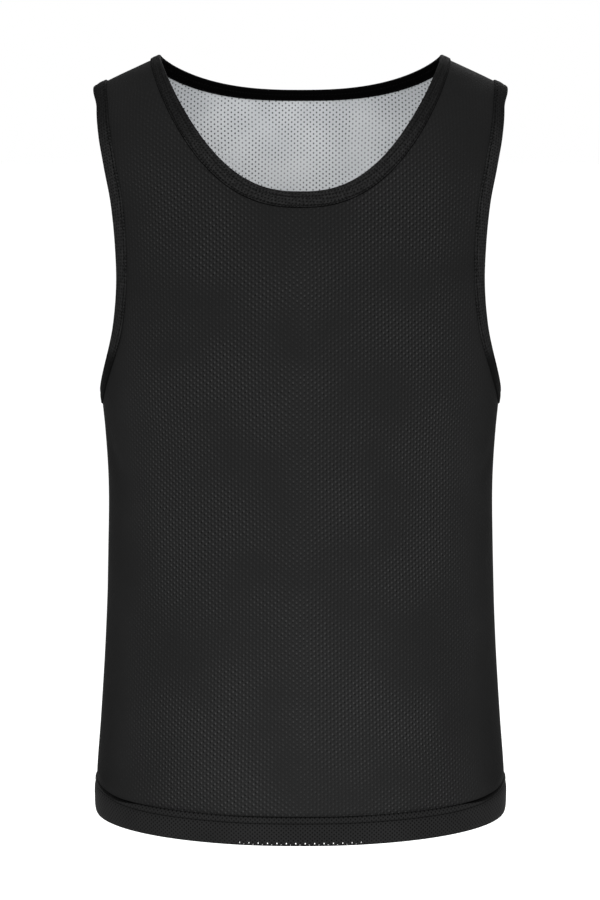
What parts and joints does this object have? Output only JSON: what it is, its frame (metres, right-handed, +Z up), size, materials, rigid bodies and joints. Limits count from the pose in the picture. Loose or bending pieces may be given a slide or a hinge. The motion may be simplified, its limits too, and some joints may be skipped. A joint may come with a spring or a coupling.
{
  "type": "training bib",
  "caption": "Sleeveless mesh training bib with a scooped neck, bound neck and armholes, a turned-up hem and a pale inner layer, standing open as when worn.",
  "frame": {"origin": "midway between the two points where the shoulder seams meet the neck, where the wearer's shoulders hold the bib up", "axes": "+Z up, +X to the viewer's right as the front is seen, and the front faces -Y"},
  "size_m": [0.3858, 0.252, 0.7012],
  "materials": {
    "black_mesh": "matte",
    "black_binding": "matte",
    "pale_mesh": "matte"
  },
  "bodies": {
    "root": {"front_panel": "black_mesh", "back_panel": "black_mesh", "front_lining": "pale_mesh", "back_lining": "pale_mesh", "neck_binding": "black_binding", "armhole_binding_left": "black_binding", "armhole_binding_right": "black_binding", "hem_front": "black_mesh", "hem_back": "black_mesh"}
  },
  "joints": []
}
